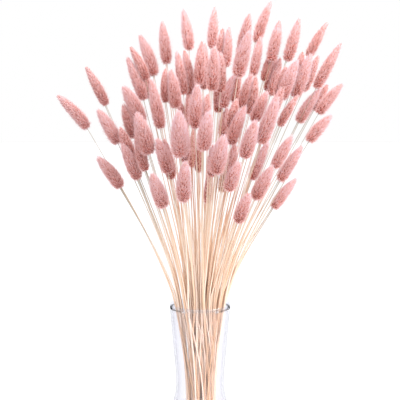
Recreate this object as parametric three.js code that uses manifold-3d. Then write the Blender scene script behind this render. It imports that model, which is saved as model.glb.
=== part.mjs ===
// A bunch of dried bunny tail grass in a waisted glass vase.
// Millimetres, +Z up. The origin is the middle of the vase's foot, on the surface that it stands on.
// -Y is the front, and +X is on the right when the bunch is seen from the front.
import * as THREE from 'three';
import { mergeVertices } from 'three/addons/utils/BufferGeometryUtils.js';
import Module from 'manifold-3d';

const wasm = await Module();
wasm.setup();

// Driving dimensions of the vase
const VASE_HEIGHT = 180;
const MOUTH_RADIUS = 30.9;
const WAIST_RADIUS = 24.4;
const WAIST_HEIGHT = 95;
const BELLY_RADIUS = 41;
const BELLY_HEIGHT = 36;
const FOOT_RADIUS = 33;
const GLASS_WALL = 2.2;
const GLASS_FLOOR = 8;
const FOOT_BEVEL = 1.5;
const SHOULDER_RADIUS = 31;
const SHOULDER_HEIGHT = 67;
const TRUMPET_RADIUS = 27.6;
const TRUMPET_HEIGHT = 141;
const BOWL_RADIUS = 30;
const VASE_SIDES = 26;
const VASE_STEPS = 9;

// Driving dimensions of the stems
const STEM_THICKNESS = 1.35;
const STEM_STEPS = 6;
const STEM_SPACING = 2.1;
const MOUTH_BUNDLE_RADIUS = 25.2;
const NECK_HEIGHT = 112;
const NECK_BUNDLE_RADIUS = 16.5;
const FEET_BUNDLE_RADIUS = 13.5;
const GATHERED_FEET_HEIGHT = 6;
const FEET_SIDES = 14;
const NECK_TURN = THREE.MathUtils.degToRad(16);
const FEET_TURN = THREE.MathUtils.degToRad(20);
const CLEARANCE = 0.3;
const CLIMB_STOPS = [0.25, 0.5, 0.75];

// How the bunch opens: its half-width at the vase's floor, its slopes in the vase and in the fan
// above it, and where and how softly the one turns into the other
const FEET_SPREAD = 7.3;
const VASE_SLOPE = 0.05;
const FAN_SLOPE = 0.54;
const OPENING_HEIGHT = VASE_HEIGHT + 18;
const OPENING_SOFTNESS = 55;
const MOUTH_SHARE = 0.98;

// Driving dimensions of the seed heads: tufts are shares of a head's length and half-width
const TUFTS_AROUND = 6;
const TUFT_ROWS = 5;
const TUFT_ROWS_BEHIND = 3;
const FIRST_TUFT = 0.13;
const LAST_TUFT = 0.92;
const TUFT_OVERHANG = 0.02;
const TUFT_DEPTH = 0.2;
const HEAD_FOOT_RADIUS = 1.3;
const HEAD_FULL_LOW = 0.62;
const HEAD_BLUNTNESS = 0.55;
const NOD_SHARE = 0.35;

// How the heads find their depth in the bunch
const DEPTH_SHARE = 0.78;
const LEAST_ROOM = 12;
const DEPTH_STEP = 2;
const SINK_STEP = 0.25;
const DEPTH_TRIES = 50;
const SINK_TRIES = 80;
const HEAD_CLEARANCE = 0.9;
const SUNK_SHARE = 0.2;
const BALLS_ALONG = 7;
const STEM_PROBES = 24;
const STEM_CLEARED = 4;
const SPACING_PASSES = 150;

// Corners of a surface that lie nearer than this are one corner
const SAME_CORNER = 1e-3;

// The viewer in front of the bunch, who sees the heads where the list below puts them
const EYE_DISTANCE = 1000;
const EYE_TILT = THREE.MathUtils.degToRad(6.5);
const AIM_HEIGHT = VASE_HEIGHT + 105;

// Each row is one head, or two or three that touch, the nearest one first. The row's first value is
// its place in the depth of the bunch, from 1 at the front to -1 at the back. Then comes each head as
// seen from the front, in millimetres from the point that the viewer aims at: across and up of its
// tip, across and up of its foot, and its width.
const SPRAYS = [
  // Far left
  [-0.5, [-143, 105, -113, 72, 13]],
  [-0.45, [-114.5, 134, -94, 95, 11.5]],
  [0.2, [-102.3, 90.5, -82.3, 57, 14]],
  [-0.05, [-102.7, 43, -79.5, 13, 14]],
  [0.35, [-77.5, 55.5, -62, 21.3, 13.5], [-80, 72.5, -66.5, 38.5, 13]],
  // Left crown
  [-0.1, [-73, 143, -56.5, 100.5, 12.5], [-69.8, 154, -54.3, 120, 11]],
  [-0.5, [-60.3, 166, -46, 125, 14], [-55, 138, -51, 102, 10]],
  [0, [-76.7, 114, -58.5, 76.5, 16], [-76.3, 95, -65.3, 63, 14]],
  [0.3, [-62.7, 86, -51, 47, 17], [-63, 74, -54.7, 29.7, 12]],
  [0.2, [-49, 121.5, -39.2, 72, 13]],
  [1, [-48, 26, -36.7, -6.5, 15]],
  [0.5, [-43, 61, -32, 28, 14], [-36, 61, -28, 21.7, 12]],
  // Middle crown
  [-0.5, [-37.7, 179.7, -33, 136.7, 13]],
  [0, [-29, 130.5, -24, 92.5, 14], [-34.7, 132, -34, 97.7, 10]],
  [-0.15, [-23.3, 150, -16.5, 105.7, 12], [-15.7, 151, -9, 105, 12]],
  [-0.35, [-16.5, 192.3, -11, 150.5, 13]],
  [-0.7, [-9, 125, -11, 76, 9], [-24, 104, -14, 72, 10]],
  [0.5, [-2.5, 116, -4.5, 72.5, 14], [7.5, 106, 4.5, 70, 11.5]],
  [-0.15, [2.3, 159.7, -1, 114.5, 12], [5, 158, 3.7, 111, 11]],
  [-0.45, [15.3, 194, 12, 152, 12]],
  [-0.2, [29.5, 174.5, 26, 133.3, 11], [23, 172.7, 19, 138, 10]],
  [0.35, [14.7, 153.3, 12.4, 110, 14], [20, 148, 20.5, 108, 11]],
  [0.2, [35, 125, 23, 92.5, 12.5], [40, 131, 34, 97, 9], [17, 120, 18, 88, 11]],
  // Middle front
  [0.8, [-21, 88.5, -19.5, 44, 17.5], [-15.3, 80, -15, 38, 11]],
  [0.95, [-14.2, 38.5, -16, -0.7, 14.5]],
  [-0.65, [-6, 72, -8, 32.7, 10], [0.5, 70, -1.5, 28, 10]],
  [0.75, [9.3, 88, 3.5, 50.5, 15]],
  [0.9, [24, 63.3, 16, 27.5, 17], [13, 55, 11.5, 24, 11]],
  [0.1, [35, 57, 28.5, 22, 12], [28, 45, 21.5, 8.5, 10]],
  [0.3, [10, 30, 7.5, -3.2, 10]],
  [0.9, [39.5, 38, 28.8, 10, 13.5]],
  [0.95, [48.8, 6.5, 38, -22, 13.5]],
  [0.5, [45.5, 94, 31, 56, 13.5], [36.7, 101, 30, 72, 11]],
  [0.1, [27, 92, 23, 63, 12]],
  [0.65, [56, 79, 44.5, 43, 15]],
  // Right crown
  [0.35, [50, 169, 38, 123.3, 15], [50, 187, 41, 142.5, 13]],
  [-0.5, [72, 200, 56.5, 158, 12]],
  [-0.35, [61, 164, 53, 124.5, 11]],
  [-0.35, [80, 180.5, 70.5, 139, 13], [72.5, 150, 63.5, 119.5, 10]],
  [0.1, [52, 126, 41, 92, 12.5], [56, 124, 49.5, 86, 12]],
  [-0.35, [80.5, 143, 70.5, 105, 11], [77, 143, 66.5, 109.5, 10]],
  [-0.35, [100, 182.5, 87, 139.5, 13]],
  [0.35, [97, 140, 81.3, 101.3, 14], [86, 133.5, 77.5, 104, 11]],
  [-0.65, [128.5, 179, 108.3, 143, 11]],
  [0.2, [111, 146, 94.5, 103.5, 14], [103, 149, 92, 112, 11], [119, 145, 103, 109, 11]],
  // Far right
  [-0.5, [142, 158, 116, 112, 12.5]],
  [-0.35, [120, 111, 98.8, 78, 13], [128, 116, 114, 90, 10.5]],
  [-0.5, [143, 116.5, 118.7, 86.7, 12.5]],
  [-0.2, [131.8, 85, 109, 58.7, 13]],
  [0.35, [67, 108, 54.5, 78.5, 13]],
  [0.7, [77.5, 103, 61, 57, 15], [83, 112, 70, 81, 11.5]],
  [0.35, [98.5, 105, 79.8, 74, 10]],
  [0.5, [68.5, 59, 51.7, 20.5, 11.5]],
  [0.7, [92.3, 64.4, 74.5, 32.5, 12.5]],
  [0.3, [102.5, 54, 80, 19.5, 13]],
  [0.65, [72.5, 33.5, 55.3, 1.5, 14.5]],
  [-0.05, [97, 21.7, 73.4, -8, 12.5]],
];

// The line of sight through the point aimed at, and the directions across and up the view
const ACROSS = new THREE.Vector3(1, 0, 0);
const SIGHT = new THREE.Vector3(0, Math.cos(EYE_TILT), -Math.sin(EYE_TILT));
const UPWARD = new THREE.Vector3(0, Math.sin(EYE_TILT), Math.cos(EYE_TILT));
const AIM = new THREE.Vector3(0, 0, AIM_HEIGHT);
const EYE = AIM.clone().addScaledVector(SIGHT, -EYE_DISTANCE);

// The point that the viewer sees at these places across and up the view, at this y
function seenAt(across, up, y) {
  const point = AIM.clone().addScaledVector(ACROSS, across).addScaledVector(UPWARD, up);
  return EYE.clone().lerp(point, (y - EYE.y) / (point.y - EYE.y));
}

// Half-width of the bunch at a height: nearly even in the vase, then opening like a fan
function spread(z) {
  const rise = z - OPENING_HEIGHT;
  const opened = (Math.hypot(rise, OPENING_SOFTNESS) + rise) / 2;
  return FEET_SPREAD + VASE_SLOPE * (z - GLASS_FLOOR) + FAN_SLOPE * opened;
}

// A stem's place at a height. All stems follow one opening fan, each at its own share of the spread,
// and the outermost ones are drawn in to pass the mouth.
function stemAt(top, z) {
  const share = new THREE.Vector2(top.x, top.y).divideScalar(spread(top.z));
  const drawnIn = Math.min(1, MOUTH_SHARE / share.length());
  const climbed = THREE.MathUtils.smoothstep(z, VASE_HEIGHT, top.z);
  share.multiplyScalar(spread(z) * THREE.MathUtils.lerp(drawnIn, 1, climbed));
  return new THREE.Vector3(share.x, share.y, z);
}

// Half-width of a head along its length, as a share of its greatest: full at the foot, slim at the tip
function fullness(along) {
  return Math.sin(Math.PI * along ** HEAD_FULL_LOW) ** HEAD_BLUNTNESS;
}

// A head whose foot lies at this y: it starts along its stem and nods on to its tip
function placeHead([tipAcross, tipUp, footAcross, footUp, width], y) {
  const foot = seenAt(footAcross, footUp, y);
  const flatTip = seenAt(tipAcross, tipUp, y);
  const tip = seenAt(tipAcross, tipUp, y * spread(flatTip.z) / spread(foot.z));
  const below = stemAt(foot, foot.z - 1);
  const stemWay = foot.clone().sub(below).normalize();
  const length = foot.distanceTo(tip);
  const turn = foot.clone().addScaledVector(stemWay, NOD_SHARE * length);
  const axis = new THREE.QuadraticBezierCurve3(foot, turn, tip);
  const balls = [];
  for (let k = 0; k < BALLS_ALONG; k++) {
    const along = (k + 0.5) / BALLS_ALONG;
    balls.push({ centre: axis.getPoint(along), radius: width / 2 * fullness(along) });
  }
  const stem = [];
  for (let k = 1; k <= STEM_PROBES; k++) {
    const z = THREE.MathUtils.lerp(VASE_HEIGHT, foot.z - STEM_CLEARED, k / STEM_PROBES);
    stem.push({ centre: stemAt(foot, z), radius: STEM_THICKNESS * Math.SQRT1_2 });
  }
  return { foot, tip, stemWay, length, axis, width, balls, stem };
}

// The least distance between two rows of balls, less their radii
function gapBetween(row, others) {
  let least = Infinity;
  for (const ball of row) {
    for (const other of others) {
      least = Math.min(least, ball.centre.distanceTo(other.centre) - ball.radius - other.radius);
    }
  }
  return least;
}

// The least gap from the stem of either head to the other head
function stemsGap(head, other) {
  return Math.min(gapBetween(head.stem, other.balls), gapBetween(head.balls, other.stem));
}

// The y of a head of the same row: as far behind the first head as it still sinks in enough, or else
// where it sinks in most, and clear of both stems
function behindFirst(row, first) {
  const sunk = -SUNK_SHARE * (first.width + row[4]) / 2;
  const farthest = first.foot.y + (first.width + row[4]) / 2;
  let nearest = null;
  for (let step = 0; step <= SINK_TRIES; step++) {
    const y = farthest - step * SINK_STEP;
    const head = placeHead(row, y);
    if (stemsGap(head, first) < CLEARANCE) continue;
    const gap = gapBetween(head.balls, first.balls);
    if (!nearest || gap < nearest.gap) nearest = { gap, head };
    if (gap <= sunk) break;
  }
  return nearest.head;
}

// The heads of a row in SPRAYS, the first at this y and each of the others as far behind it as it may be
function placeSpray(rows, y) {
  const first = placeHead(rows[0], y);
  return [first, ...rows.slice(1).map((row) => behindFirst(row, first))];
}

// The least gap from a spray's heads to other heads and stems, and from its stems to other heads
function clearanceOf(heads, placed) {
  let least = Infinity;
  for (const head of heads) {
    for (const other of placed) {
      least = Math.min(least, gapBetween(head.balls, other.balls), stemsGap(head, other));
    }
  }
  return least;
}

// Each spray lies as near to its place in the depth of the bunch as its neighbours leave room
function settleSprays() {
  const placed = [];
  const settled = [];
  const order = SPRAYS.map((spray, index) => index);
  order.sort((a, b) => Math.abs(SPRAYS[b][0]) - Math.abs(SPRAYS[a][0]));
  for (const index of order) {
    const [place, ...rows] = SPRAYS[index];
    const flat = seenAt(rows[0][2], rows[0][3], 0);
    const room = Math.sqrt(Math.max(spread(flat.z) ** 2 - flat.x ** 2, LEAST_ROOM ** 2));
    const wished = -place * DEPTH_SHARE * room;
    let best = null;
    for (let step = 0; step <= DEPTH_TRIES; step++) {
      const side = step % 2 ? 1 : -1;
      const y = wished + side * Math.ceil(step / 2) * DEPTH_STEP;
      const heads = placeSpray(rows, y);
      const clear = clearanceOf(heads, placed);
      if (!best || clear > best.clear) best = { heads, clear, y };
      if (clear > HEAD_CLEARANCE) break;
    }
    placed.push(...best.heads);
    settled[index] = best.heads;
  }
  return settled;
}

// Pushes points in a disc apart until neighbours stand at least a spacing from each other
function spacedOut(points, spacing, radius) {
  const spaced = points.map((point) => point.clone());
  for (let pass = 0; pass < SPACING_PASSES; pass++) {
    for (let a = 0; a < spaced.length; a++) {
      for (let b = 0; b < a; b++) {
        const apart = spaced[a].clone().sub(spaced[b]);
        const short = spacing - apart.length();
        if (short <= 0) continue;
        apart.setLength(short / 2);
        spaced[a].add(apart);
        spaced[b].sub(apart);
      }
      spaced[a].clampLength(0, radius);
    }
  }
  return spaced;
}

// The stems' places drawn together by a share and turned about the bunch's middle
function gathered(points, share, turn) {
  const middle = new THREE.Vector2();
  const drawn = points.map((point) => point.clone().multiplyScalar(share).rotateAround(middle, turn));
  const reach = Math.max(...drawn.map((point) => point.length()));
  return spacedOut(drawn, STEM_SPACING, reach);
}

// The route of a stem: from the vase's floor up to just under its head
function stemRoute(head, foot, neck, mouth) {
  const points = [
    new THREE.Vector3(foot.x, foot.y, GLASS_FLOOR + GATHERED_FEET_HEIGHT / 3),
    new THREE.Vector3(neck.x, neck.y, NECK_HEIGHT),
    new THREE.Vector3(mouth.x, mouth.y, VASE_HEIGHT),
  ];
  const top = head.foot.clone().addScaledVector(head.stemWay, -CLEARANCE);
  for (const climbed of CLIMB_STOPS) {
    points.push(stemAt(head.foot, THREE.MathUtils.lerp(VASE_HEIGHT, top.z, climbed)));
  }
  points.push(top);
  return new THREE.CatmullRomCurve3(points);
}

// The routes of all the stems, which keep their neighbours down to the floor and never cross
function stemRoutes(heads) {
  const crossings = heads.map(({ foot }) => {
    const { x, y } = stemAt(foot, VASE_HEIGHT);
    return new THREE.Vector2(x, y);
  });
  const mouths = spacedOut(crossings, STEM_SPACING, MOUTH_BUNDLE_RADIUS);
  const necks = gathered(mouths, NECK_BUNDLE_RADIUS / MOUTH_BUNDLE_RADIUS, NECK_TURN);
  const feet = gathered(necks, FEET_BUNDLE_RADIUS / NECK_BUNDLE_RADIUS, FEET_TURN);
  return heads.map((head, i) => stemRoute(head, feet[i], necks[i], mouths[i]));
}

// A geometry's surface with its shared corners merged and no empty triangles
function closedSurface(geometry) {
  const bare = new THREE.BufferGeometry();
  bare.setAttribute('position', geometry.getAttribute('position'));
  bare.setIndex(geometry.getIndex());
  const merged = mergeVertices(bare, SAME_CORNER);
  const corners = merged.getIndex().array;
  const kept = [];
  for (let i = 0; i < corners.length; i += 3) {
    const [a, b, c] = corners.slice(i, i + 3);
    if (a !== b && b !== c && c !== a) kept.push(a, b, c);
  }
  merged.setIndex(kept);
  return merged;
}

function solidOf(geometry) {
  const surface = closedSurface(geometry);
  return new wasm.Manifold(new wasm.Mesh({
    numProp: 3,
    vertProperties: surface.getAttribute('position').array,
    triVerts: new Uint32Array(surface.getIndex().array),
  }));
}

function geometryOf(solid) {
  const { vertProperties, triVerts } = solid.getMesh();
  const geometry = new THREE.BufferGeometry();
  geometry.setAttribute('position', new THREE.BufferAttribute(vertProperties, 3));
  geometry.setIndex(new THREE.BufferAttribute(triVerts, 1));
  geometry.computeVertexNormals();
  return geometry;
}

function joined(geometries) {
  const [first, ...others] = geometries.map(solidOf);
  return geometryOf(others.reduce((whole, solid) => whole.add(solid), first));
}

// A seed head: rows of tufts that point up and out, each row half a tuft round from the last
function headGeometry({ axis, width }, rows) {
  const radiusAt = (along) => width / 2 * fullness(along);
  const profile = [new THREE.Vector2(0, 0), new THREE.Vector2(HEAD_FOOT_RADIUS, 0)];
  const turns = [0, 0];
  const halfTuft = Math.PI / TUFTS_AROUND;
  for (let row = 0; row < rows; row++) {
    const along = THREE.MathUtils.lerp(FIRST_TUFT, LAST_TUFT, row / (rows - 1));
    profile.push(new THREE.Vector2(radiusAt(along), along));
    turns.push(row * halfTuft);
    if (row === rows - 1) break;
    const root = along - TUFT_OVERHANG;
    profile.push(new THREE.Vector2((1 - TUFT_DEPTH) * radiusAt(root), root));
    turns.push((row + 1) * halfTuft);
  }
  profile.push(new THREE.Vector2(0, 1));
  turns.push(0);
  const geometry = new THREE.LatheGeometry(profile, TUFTS_AROUND);
  bendOnto(axis, geometry, profile, turns);
  return geometry;
}

// Lays a turned shape along a curve: the profile's heights become shares of the curve, and each ring
// of corners is turned about it
function bendOnto(axis, geometry, profile, turns) {
  const corners = geometry.getAttribute('position');
  for (let i = 0; i < corners.count; i++) {
    const ring = i % profile.length;
    const column = Math.floor(i / profile.length);
    const angle = column * 2 * Math.PI / TUFTS_AROUND + turns[ring];
    const way = axis.getTangent(profile[ring].y);
    const side = new THREE.Vector3(0, 1, 0).cross(way).normalize();
    const front = way.clone().cross(side);
    const corner = axis.getPoint(profile[ring].y);
    corner.addScaledVector(side, profile[ring].x * Math.cos(angle));
    corner.addScaledVector(front, profile[ring].x * Math.sin(angle));
    corners.setXYZ(i, corner.x, corner.y, corner.z);
  }
}

function stemGeometry(route) {
  const half = STEM_THICKNESS / 2;
  const section = new THREE.Shape();
  section.moveTo(-half, -half);
  section.lineTo(half, -half);
  section.lineTo(half, half);
  section.lineTo(-half, half);
  return new THREE.ExtrudeGeometry(section, { steps: STEM_STEPS, extrudePath: route });
}

// The feet of the stems stand packed together on the vase's floor
function gatheredFeetGeometry() {
  const radius = FEET_BUNDLE_RADIUS + STEM_THICKNESS;
  const feet = new THREE.CylinderGeometry(radius, radius, GATHERED_FEET_HEIGHT, FEET_SIDES);
  feet.rotateX(Math.PI / 2);
  feet.translate(0, 0, GLASS_FLOOR + CLEARANCE + GATHERED_FEET_HEIGHT / 2);
  return feet;
}

// The vase: its outside runs up over belly, waist and mouth, its inside down again to the floor
function vaseGeometry() {
  const outside = new THREE.SplineCurve([
    new THREE.Vector2(FOOT_RADIUS + FOOT_BEVEL, FOOT_BEVEL),
    new THREE.Vector2(BELLY_RADIUS, BELLY_HEIGHT),
    new THREE.Vector2(SHOULDER_RADIUS, SHOULDER_HEIGHT),
    new THREE.Vector2(WAIST_RADIUS, WAIST_HEIGHT),
    new THREE.Vector2(TRUMPET_RADIUS, TRUMPET_HEIGHT),
    new THREE.Vector2(MOUTH_RADIUS, VASE_HEIGHT),
  ]).getPoints(VASE_STEPS);
  const inside = outside.filter((point) => point.y > GLASS_FLOOR);
  const profile = [new THREE.Vector2(0, 0), new THREE.Vector2(FOOT_RADIUS, 0), ...outside];
  for (const point of inside.reverse()) {
    profile.push(new THREE.Vector2(point.x - GLASS_WALL, point.y));
  }
  profile.push(new THREE.Vector2(BOWL_RADIUS, GLASS_FLOOR), new THREE.Vector2(0, GLASS_FLOOR));
  const vase = new THREE.LatheGeometry(profile, VASE_SIDES);
  vase.rotateX(Math.PI / 2);
  return geometryOf(solidOf(vase));
}

const pink = new THREE.MeshStandardMaterial({ color: 0xdb9f9d, roughness: 0.95, metalness: 0 });
const straw = new THREE.MeshStandardMaterial({ color: 0xe9d2b4, roughness: 0.8, metalness: 0 });
const glass = new THREE.MeshStandardMaterial({
  color: 0xe6ecef,
  roughness: 0.05,
  metalness: 0,
  transparent: true,
  opacity: 0.35,
});

const bunch = new THREE.Group();

function addPiece(name, geometry, material) {
  const mesh = new THREE.Mesh(geometry, material);
  mesh.name = name;
  bunch.add(mesh);
}

addPiece('glass_vase', vaseGeometry(), glass);

const sprays = settleSprays();
const heads = sprays.flat();
const stems = stemRoutes(heads).map(stemGeometry);
addPiece('stems', joined([gatheredFeetGeometry(), ...stems]), straw);

let number = 0;
for (const spray of sprays) {
  const numbers = spray.map(() => String(++number).padStart(2, '0'));
  const solids = spray.map((head, i) => headGeometry(head, i ? TUFT_ROWS_BEHIND : TUFT_ROWS));
  const name = (spray.length > 1 ? 'heads_' : 'head_') + numbers.join('_');
  addPiece(name, joined(solids), pink);
}

export default bunch;
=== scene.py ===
# %% [markdown]
# # Dried bunny tail grass in a clear glass vase
#
# The bunch is already there as plain solids: a vase, the stems, and one tufted solid for each seed
# head or for two or three heads that touch. This lesson dresses them. The solids stay as the frame:
# they say where every piece is, and each finished piece takes the place of its solid. Everything is
# in metres, with +Z up and the viewer in front at -Y.

# %% Load the solids
import math
import random

import bpy
import numpy as np
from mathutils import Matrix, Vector


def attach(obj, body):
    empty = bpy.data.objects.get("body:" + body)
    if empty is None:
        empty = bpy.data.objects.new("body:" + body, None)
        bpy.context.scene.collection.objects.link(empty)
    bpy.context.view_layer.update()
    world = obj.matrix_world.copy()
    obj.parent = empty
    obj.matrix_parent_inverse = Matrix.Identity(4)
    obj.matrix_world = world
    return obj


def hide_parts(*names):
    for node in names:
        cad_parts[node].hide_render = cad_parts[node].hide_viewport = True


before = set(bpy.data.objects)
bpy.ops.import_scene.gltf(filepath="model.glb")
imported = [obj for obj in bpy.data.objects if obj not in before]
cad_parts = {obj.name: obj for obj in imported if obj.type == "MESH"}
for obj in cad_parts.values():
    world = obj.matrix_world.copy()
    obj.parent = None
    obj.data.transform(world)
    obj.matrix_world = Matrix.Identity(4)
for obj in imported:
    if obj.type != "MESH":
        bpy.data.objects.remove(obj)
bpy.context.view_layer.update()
MM = 0.001

# %% [markdown]
# ## The viewer
#
# A photograph of a bunch like this is taken from about a metre away, a little above the middle of
# the bunch, so the heads keep their true proportions. The camera aims at a point above the vase's
# mouth. Its lens is chosen so that one unit across the picture is one millimetre at that point.

# %% The camera
VASE_HEIGHT = 180.0
AIM_HEIGHT = VASE_HEIGHT + 105.0
EYE_DISTANCE = 1000.0
EYE_TILT = math.radians(6.5)
PICTURE_HALF_WIDTH = 200.0

ACROSS = np.array([1.0, 0.0, 0.0])
SIGHT = np.array([0.0, math.cos(EYE_TILT), -math.sin(EYE_TILT)])
UPWARD = np.array([0.0, math.sin(EYE_TILT), math.cos(EYE_TILT)])
AIM = np.array([0.0, 0.0, AIM_HEIGHT])
EYE = AIM - EYE_DISTANCE * SIGHT

lens = bpy.data.cameras.new("viewer")
lens.sensor_width = 36.0
lens.lens = lens.sensor_width / 2 * EYE_DISTANCE / PICTURE_HALF_WIDTH
lens.clip_start = 0.05
lens.clip_end = 60.0
camera = bpy.data.objects.new("viewer", lens)
camera.location = Vector(EYE * MM)
camera.rotation_euler = (math.pi / 2 - EYE_TILT, 0.0, 0.0)
bpy.context.scene.collection.objects.link(camera)
bpy.context.scene.camera = camera
print("camera at", [round(c, 4) for c in camera.location], "lens", round(lens.lens, 1), "mm")

# %% [markdown]
# ## Where every head is seen
#
# No rule makes a hand-arranged bunch, so its heads are listed one by one, as the viewer sees them:
# how far across and up the tip is, the same for the foot, and the width, in millimetres from the
# point that the camera aims at. Heads that touch share a row, with the nearest one first. How deep
# each head lies in the bunch isn't in the list. The solids know that.

# %% The list of heads
SPRAYS = [
    # Far left
    [(-143, 105, -113, 72, 13)],
    [(-114.5, 134, -94, 95, 11.5)],
    [(-102.3, 90.5, -82.3, 57, 14)],
    [(-102.7, 43, -79.5, 13, 14)],
    [(-77.5, 55.5, -62, 21.3, 13.5), (-80, 72.5, -66.5, 38.5, 13)],
    # Left crown
    [(-73, 143, -56.5, 100.5, 12.5), (-69.8, 154, -54.3, 120, 11)],
    [(-60.3, 166, -46, 125, 14), (-55, 138, -51, 102, 10)],
    [(-76.7, 114, -58.5, 76.5, 16), (-76.3, 95, -65.3, 63, 14)],
    [(-62.7, 86, -51, 47, 17), (-63, 74, -54.7, 29.7, 12)],
    [(-49, 121.5, -39.2, 72, 13)],
    [(-48, 26, -36.7, -6.5, 15)],
    [(-43, 61, -32, 28, 14), (-36, 61, -28, 21.7, 12)],
    # Middle crown
    [(-37.7, 179.7, -33, 136.7, 13)],
    [(-29, 130.5, -24, 92.5, 14), (-34.7, 132, -34, 97.7, 10)],
    [(-23.3, 150, -16.5, 105.7, 12), (-15.7, 151, -9, 105, 12)],
    [(-16.5, 192.3, -11, 150.5, 13)],
    [(-9, 125, -11, 76, 9), (-24, 104, -14, 72, 10)],
    [(-2.5, 116, -4.5, 72.5, 14), (7.5, 106, 4.5, 70, 11.5)],
    [(2.3, 159.7, -1, 114.5, 12), (5, 158, 3.7, 111, 11)],
    [(15.3, 194, 12, 152, 12)],
    [(29.5, 174.5, 26, 133.3, 11), (23, 172.7, 19, 138, 10)],
    [(14.7, 153.3, 12.4, 110, 14), (20, 148, 20.5, 108, 11)],
    [(35, 125, 23, 92.5, 12.5), (40, 131, 34, 97, 9), (17, 120, 18, 88, 11)],
    # Middle front
    [(-21, 88.5, -19.5, 44, 17.5), (-15.3, 80, -15, 38, 11)],
    [(-14.2, 38.5, -16, -0.7, 14.5)],
    [(-6, 72, -8, 32.7, 10), (0.5, 70, -1.5, 28, 10)],
    [(9.3, 88, 3.5, 50.5, 15)],
    [(24, 63.3, 16, 27.5, 17), (13, 55, 11.5, 24, 11)],
    [(35, 57, 28.5, 22, 12), (28, 45, 21.5, 8.5, 10)],
    [(10, 30, 7.5, -3.2, 10)],
    [(39.5, 38, 28.8, 10, 13.5)],
    [(48.8, 6.5, 38, -22, 13.5)],
    [(45.5, 94, 31, 56, 13.5), (36.7, 101, 30, 72, 11)],
    [(27, 92, 23, 63, 12)],
    [(56, 79, 44.5, 43, 15)],
    # Right crown
    [(50, 169, 38, 123.3, 15), (50, 187, 41, 142.5, 13)],
    [(72, 200, 56.5, 158, 12)],
    [(61, 164, 53, 124.5, 11)],
    [(80, 180.5, 70.5, 139, 13), (72.5, 150, 63.5, 119.5, 10)],
    [(52, 126, 41, 92, 12.5), (56, 124, 49.5, 86, 12)],
    [(80.5, 143, 70.5, 105, 11), (77, 143, 66.5, 109.5, 10)],
    [(100, 182.5, 87, 139.5, 13)],
    [(97, 140, 81.3, 101.3, 14), (86, 133.5, 77.5, 104, 11)],
    [(128.5, 179, 108.3, 143, 11)],
    [(111, 146, 94.5, 103.5, 14), (103, 149, 92, 112, 11), (119, 145, 103, 109, 11)],
    # Far right
    [(142, 158, 116, 112, 12.5)],
    [(120, 111, 98.8, 78, 13), (128, 116, 114, 90, 10.5)],
    [(143, 116.5, 118.7, 86.7, 12.5)],
    [(131.8, 85, 109, 58.7, 13)],
    [(67, 108, 54.5, 78.5, 13)],
    [(77.5, 103, 61, 57, 15), (83, 112, 70, 81, 11.5)],
    [(98.5, 105, 79.8, 74, 10)],
    [(68.5, 59, 51.7, 20.5, 11.5)],
    [(92.3, 64.4, 74.5, 32.5, 12.5)],
    [(102.5, 54, 80, 19.5, 13)],
    [(72.5, 33.5, 55.3, 1.5, 14.5)],
    [(97, 21.7, 73.4, -8, 12.5)],
]
print("rows:", len(SPRAYS), "heads:", sum(len(row) for row in SPRAYS))

# %% [markdown]
# ## How deep every head lies
#
# A place in the picture is a line of sight, and the head's foot is somewhere along it. The solid of
# the head has a corner exactly there, so the corner nearest to the line gives the foot. Where the
# foot is hidden inside a neighbour, the tip's corner does the same, and the depth is found in a few
# steps. The bunch opens like a fan, so a head leans outwards more the further out it lies, and the
# same rule gives its stem's direction.

# %% The rule of the fan
GLASS_FLOOR = 8.0
FEET_SPREAD = 7.3
VASE_SLOPE = 0.05
FAN_SLOPE = 0.54
OPENING_HEIGHT = VASE_HEIGHT + 18.0
OPENING_SOFTNESS = 55.0
MOUTH_SHARE = 0.98
NOD_SHARE = 0.35


def blend_in(low, high, value):
    """0 below low, 1 above high, and smooth between them."""
    share = min(1.0, max(0.0, (value - low) / (high - low)))
    return share * share * (3 - 2 * share)


def seen_at(across, up, y):
    """The point at depth y that the viewer sees at this place in the picture."""
    point = AIM + ACROSS * across + UPWARD * up
    return EYE + (point - EYE) * (y - EYE[1]) / (point[1] - EYE[1])


def spread(z):
    """Half the width of the bunch at a height."""
    rise = z - OPENING_HEIGHT
    opened = (math.hypot(rise, OPENING_SOFTNESS) + rise) / 2
    return FEET_SPREAD + VASE_SLOPE * (z - GLASS_FLOOR) + FAN_SLOPE * opened


def stem_at(top, z):
    """Where the stem that ends at top passes a height."""
    share = top[:2] / spread(top[2])
    drawn_in = min(1.0, MOUTH_SHARE / np.linalg.norm(share))
    climbed = blend_in(VASE_HEIGHT, top[2], z)
    share = share * spread(z) * (drawn_in + (1 - drawn_in) * climbed)
    return np.array([share[0], share[1], z])


print("half-width of the bunch:", {z: round(spread(z), 1) for z in (180, 250, 350, 450)})


# %% Find the foot and the tip of every head
NEAR_ENOUGH = 0.05
DEPTH_STEPS = 20


def corners_of(node):
    """The corners of a solid, in millimetres."""
    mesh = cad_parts[node].data
    flat = np.empty(len(mesh.vertices) * 3)
    mesh.vertices.foreach_get("co", flat)
    return flat.reshape(-1, 3) / MM


def corner_seen(corners, across, up):
    """The corner nearest to a line of sight, and how far off it is."""
    way = AIM + ACROSS * across + UPWARD * up - EYE
    way = way / np.linalg.norm(way)
    arm = corners - EYE
    off = np.linalg.norm(arm - np.outer(arm @ way, way), axis=1)
    nearest = int(off.argmin())
    return corners[nearest], float(off[nearest])


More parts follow.
